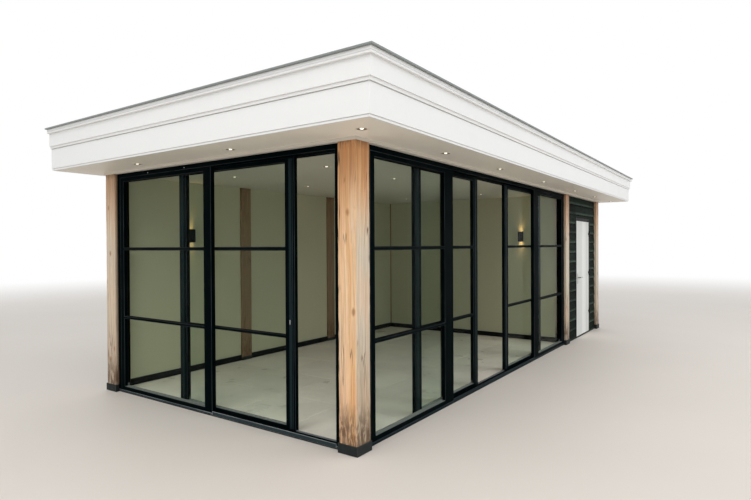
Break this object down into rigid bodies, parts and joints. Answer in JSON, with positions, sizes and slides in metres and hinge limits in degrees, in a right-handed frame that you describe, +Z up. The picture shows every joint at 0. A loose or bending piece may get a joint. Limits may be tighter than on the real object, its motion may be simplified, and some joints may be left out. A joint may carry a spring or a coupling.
{
  "type": "garden office pod",
  "caption": "Flat-roofed garden office pod with oak posts, black sliding glazing on two sides, white layered fascia, black boarding and a white storage door.",
  "frame": {"origin": "on the ground, under the middle of the roof", "axes": "+X along the long glazed front towards the storage end, +Y from the front to the back, +Z up"},
  "size_m": [9.169, 4.47, 3],
  "materials": {
    "oak": "rough sawn oak, lightly weathered",
    "shoe": "black powder coat",
    "frame_black": "fine satin black powder coat",
    "glass": "clear double glazing",
    "pull_steel": "satin",
    "black_metal": "matt black",
    "black_boards": "black stained rough boards",
    "wall_paint": "light grey emulsion on plaster",
    "skirting_black": "black satin paint",
    "tiles": "matt pale beige-grey tile",
    "white_paint": "white satin paint",
    "door_white": "white satin paint",
    "soffit_white": "white matt paint",
    "roof_membrane": "dark grey membrane",
    "edge_metal": "dark grey satin",
    "spot_ring": "white satin"
  },
  "bodies": {
    "building": {"floor_slab": "tiles", "oak_posts": "oak", "post_shoes": "shoe", "left_frame": "frame_black", "left_frame_sill": "frame_black", "left_fixed_light": "frame_black", "left_fixed_glass": "glass", "front_frame": "frame_black", "front_frame_sill": "frame_black", "front_fixed_lights": "frame_black", "front_fixed_glass": "glass", "front_wall": "wall_paint", "front_cladding": "black_boards", "end_wall": "wall_paint", "end_cladding": "black_boards", "back_wall": "wall_paint", "back_cladding": "black_boards", "partition": "wall_paint", "skirting": "skirting_black", "storage_door_frame": "frame_black", "storage_hinges": "pull_steel", "ceiling": "soffit_white", "soffit_bead": "white_paint", "soffit": "soffit_white", "roof_rim": "white_paint", "roof_deck": "roof_membrane", "fascia_cap": "white_paint", "fascia_upper": "white_paint", "fascia_strip": "white_paint", "fascia_lower": "white_paint", "fascia_trim": "white_paint", "roof_edge": "edge_metal", "spots": "spot_ring", "wall_lights": "black_metal"},
    "left_sliding_leaf": {"left_leaf_frame": "frame_black", "left_leaf_glass": "glass", "left_leaf_pull": "pull_steel"},
    "front_sliding_leaf_b": {"front_leaf_b_frame": "frame_black", "front_leaf_b_glass": "glass", "front_leaf_b_pull": "black_metal"},
    "front_sliding_leaf_c": {"front_leaf_c_frame": "frame_black", "front_leaf_c_glass": "glass", "front_leaf_c_pull": "black_metal"},
    "storage_door": {"storage_door_leaf": "door_white", "storage_door_fittings": "pull_steel"}
  },
  "joints": [
    {"name": "left_leaf_slide", "type": "slide", "parent": "building", "child": "left_sliding_leaf", "axis": [0, 1, 0], "range_m": [-0.498, 1.016]},
    {"name": "front_leaf_b_slide", "type": "slide", "parent": "building", "child": "front_sliding_leaf_b", "axis": [1, 0, 0], "range_m": [-0.81, 0.538]},
    {"name": "front_leaf_c_slide", "type": "slide", "parent": "building", "child": "front_sliding_leaf_c", "axis": [1, 0, 0], "range_m": [-0.302, 0.976]},
    {"name": "storage_door_hinge", "type": "hinge", "parent": "building", "child": "storage_door", "pos_m": [3.3985, -1.671, 1.14], "axis": [0, 0, 1], "range_deg": [0, 100]}
  ]
}
